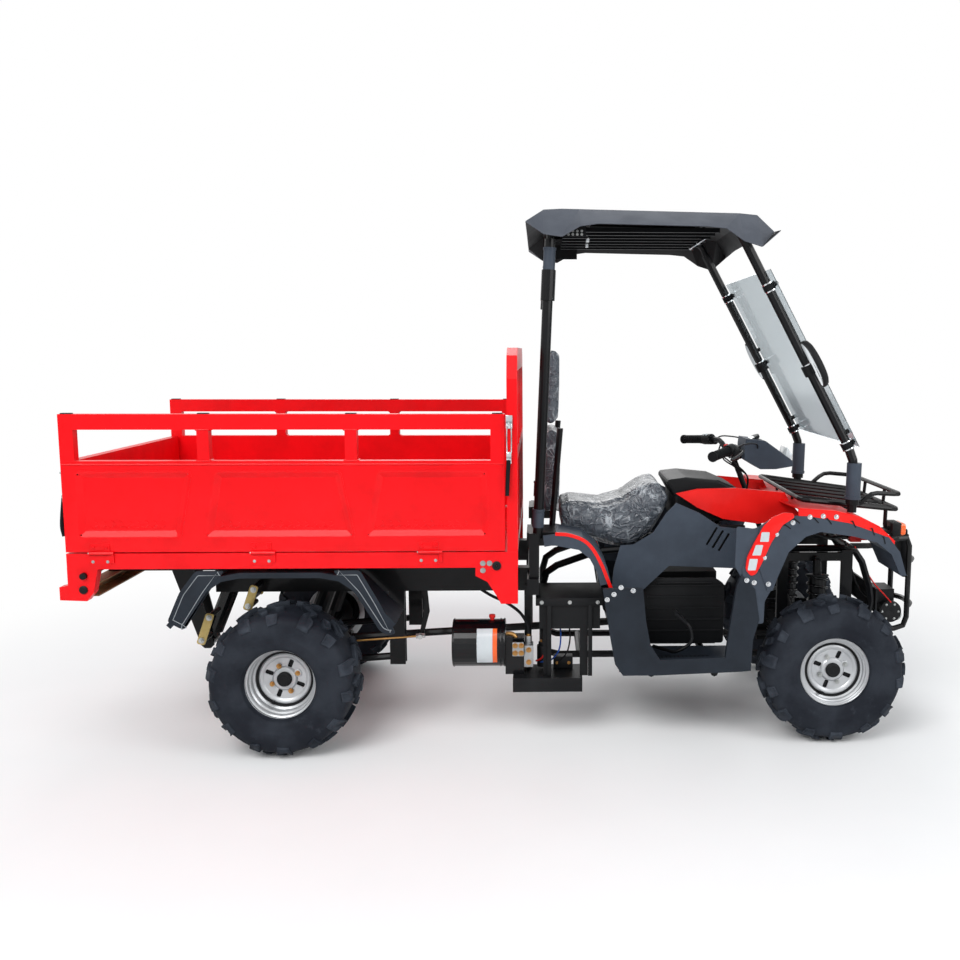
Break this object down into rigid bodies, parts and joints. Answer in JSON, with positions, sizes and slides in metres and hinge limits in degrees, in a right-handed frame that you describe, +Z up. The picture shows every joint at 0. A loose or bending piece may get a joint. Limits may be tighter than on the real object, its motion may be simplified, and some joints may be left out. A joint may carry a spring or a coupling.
{
  "type": "quad bike with tipping cargo bed",
  "caption": "Farm quad bike with a roofed rider's seat, bar steering, lugged tyres and a rear cargo bed that tips on a cylinder and has folding sides and a tailgate.",
  "frame": {"origin": "on the ground, under the centre of the vehicle's bounding box", "axes": "+X towards the front of the vehicle, +Y to its left, +Z up"},
  "size_m": [3.2924, 1.243, 1.9894],
  "materials": {
    "bare_steel": "primed steel",
    "black_plastic": "matte black moulding",
    "black_steel": "satin black paint",
    "chrome": "hard chrome",
    "clear_sheet": "clear plastic sheet",
    "grey_plastic": "satin dark grey moulding",
    "orange_lens": "orange lens",
    "red_paint": "gloss red paint",
    "red_plastic": "gloss red moulding",
    "silver_paint": "silver paint",
    "tyre_rubber": "rubber",
    "vinyl": "dark vinyl under a clear wrapping film"
  },
  "bodies": {
    "chassis": {"chassis_frame": "black_steel", "front_cradle": "black_steel", "rear_crossmember": "bare_steel", "rear_axle": "black_steel", "engine_block": "black_steel", "front_suspension_left": "black_steel", "front_suspension_right": "black_steel", "front_fairing": "red_plastic", "tank_cover": "black_plastic", "side_cover_left": "grey_plastic", "side_cover_right": "grey_plastic", "front_fender_left": "grey_plastic", "front_fender_right": "grey_plastic", "rear_fender_left": "grey_plastic", "rear_fender_right": "grey_plastic", "footboard_left": "grey_plastic", "footboard_right": "grey_plastic", "seat": "vinyl", "backrest_lower": "vinyl", "backrest_upper": "vinyl", "canopy_frame": "black_steel", "canopy_roof": "grey_plastic", "windshield": "clear_sheet", "mirror_left": "black_plastic", "mirror_right": "black_plastic", "front_rack": "black_steel", "front_bumper": "black_steel", "turn_signal_left": "orange_lens", "turn_signal_right": "orange_lens", "winch": "black_steel", "hydraulic_power_pack": "black_steel", "power_pack_tray": "black_plastic", "battery_box": "black_plastic", "rear_mudguard_left": "black_plastic", "rear_mudguard_right": "black_plastic"},
    "steering": {"handlebar": "black_steel", "headlamp_pod": "grey_plastic"},
    "bed": {"bed_frame": "red_paint", "bed_floor": "red_paint", "headboard": "red_paint"},
    "tailgate": {"tailgate": "red_paint"},
    "ram_barrel": {"cylinder_barrel": "black_steel"},
    "ram_rod": {"cylinder_rod": "chrome"},
    "knuckle_left": {"knuckle_left": "black_steel"},
    "tie_rod_left": {"tie_rod_left": "black_steel"},
    "front_wheel_left": {"front_left_tyre": "tyre_rubber", "front_left_rim": "silver_paint"},
    "rear_wheel_left": {"rear_left_tyre": "tyre_rubber", "rear_left_rim": "silver_paint"},
    "drop_side_left": {"drop_side_left": "red_paint"},
    "knuckle_right": {"knuckle_right": "black_steel"},
    "tie_rod_right": {"tie_rod_right": "black_steel"},
    "front_wheel_right": {"front_right_tyre": "tyre_rubber", "front_right_rim": "silver_paint"},
    "rear_wheel_right": {"rear_right_tyre": "tyre_rubber", "rear_right_rim": "silver_paint"},
    "drop_side_right": {"drop_side_right": "red_paint"}
  },
  "joints": [
    {"name": "steering_turn", "type": "hinge", "parent": "chassis", "child": "steering", "pos_m": [1.188, 0, 0.28], "axis": [-0.373, 0, 0.9278], "range_deg": [-36, 36]},
    {"name": "knuckle_left_turn", "type": "hinge", "parent": "chassis", "child": "knuckle_left", "pos_m": [1.188, 0.36, 0.2795], "axis": [0, 0, 1], "range_deg": [-30.1, 30.1]},
    {"name": "tie_rod_left_swing", "type": "hinge", "parent": "knuckle_left", "child": "tie_rod_left", "pos_m": [1.098, 0.36, 0.2854], "axis": [0, 0, 1], "range_deg": [-30.1, 30.1]},
    {"name": "front_wheel_left_spin", "type": "hinge", "parent": "knuckle_left", "child": "front_wheel_left", "pos_m": [1.188, 0.4257, 0.2795], "axis": [0, 1, 0], "continuous": true},
    {"name": "rear_wheel_left_spin", "type": "hinge", "parent": "chassis", "child": "rear_wheel_left", "pos_m": [-0.862, 0.4945, 0.2795], "axis": [0, 1, 0], "continuous": true},
    {"name": "drop_side_left_hinge", "type": "hinge", "parent": "bed", "child": "drop_side_left", "pos_m": [-1.614, 0.556, 0.7597], "axis": [-1, 0, 0], "range_deg": [0, 150]},
    {"name": "knuckle_right_turn", "type": "hinge", "parent": "chassis", "child": "knuckle_right", "pos_m": [1.188, -0.36, 0.2795], "axis": [0, 0, 1], "range_deg": [-30.1, 30.1]},
    {"name": "tie_rod_right_swing", "type": "hinge", "parent": "knuckle_right", "child": "tie_rod_right", "pos_m": [1.098, -0.36, 0.2854], "axis": [0, 0, 1], "range_deg": [-30.1, 30.1]},
    {"name": "front_wheel_right_spin", "type": "hinge", "parent": "knuckle_right", "child": "front_wheel_right", "pos_m": [1.188, -0.4257, 0.2795], "axis": [0, 1, 0], "continuous": true},
    {"name": "rear_wheel_right_spin", "type": "hinge", "parent": "chassis", "child": "rear_wheel_right", "pos_m": [-0.862, -0.4945, 0.2795], "axis": [0, 1, 0], "continuous": true},
    {"name": "drop_side_right_hinge", "type": "hinge", "parent": "bed", "child": "drop_side_right", "pos_m": [-1.614, -0.556, 0.7597], "axis": [1, 0, 0], "range_deg": [0, 150]},
    {"name": "bed_tip", "type": "hinge", "parent": "chassis", "child": "bed", "pos_m": [-1.556, 0, 0.676], "axis": [0, -1, 0], "range_deg": [0, 45]},
    {"name": "tailgate_hinge", "type": "hinge", "parent": "bed", "child": "tailgate", "pos_m": [-1.621, 0, 0.7597], "axis": [0, -1, 0], "range_deg": [0, 120]},
    {"name": "ram_swing", "type": "hinge", "parent": "chassis", "child": "ram_barrel", "pos_m": [-1.3, 0, 0.28], "axis": [0, -1, 0], "range_deg": [0, 18.8]},
    {"name": "ram_slide", "type": "slide", "parent": "ram_barrel", "child": "ram_rod", "axis": [0.3881, 0, 0.9216], "range_m": [0, 0.2764]}
  ],
  "couplings": [
    {"joint": "knuckle_left_turn", "follows": "steering_turn", "ratio": 0.8333},
    {"joint": "tie_rod_left_swing", "follows": "steering_turn", "ratio": -0.8333},
    {"joint": "knuckle_right_turn", "follows": "steering_turn", "ratio": 0.8333},
    {"joint": "tie_rod_right_swing", "follows": "steering_turn", "ratio": -0.8333},
    {"joint": "ram_swing", "follows": "bed_tip", "ratio": 0.4148},
    {"joint": "ram_slide", "follows": "bed_tip", "m_per_rad": 0.3519}
  ]
}
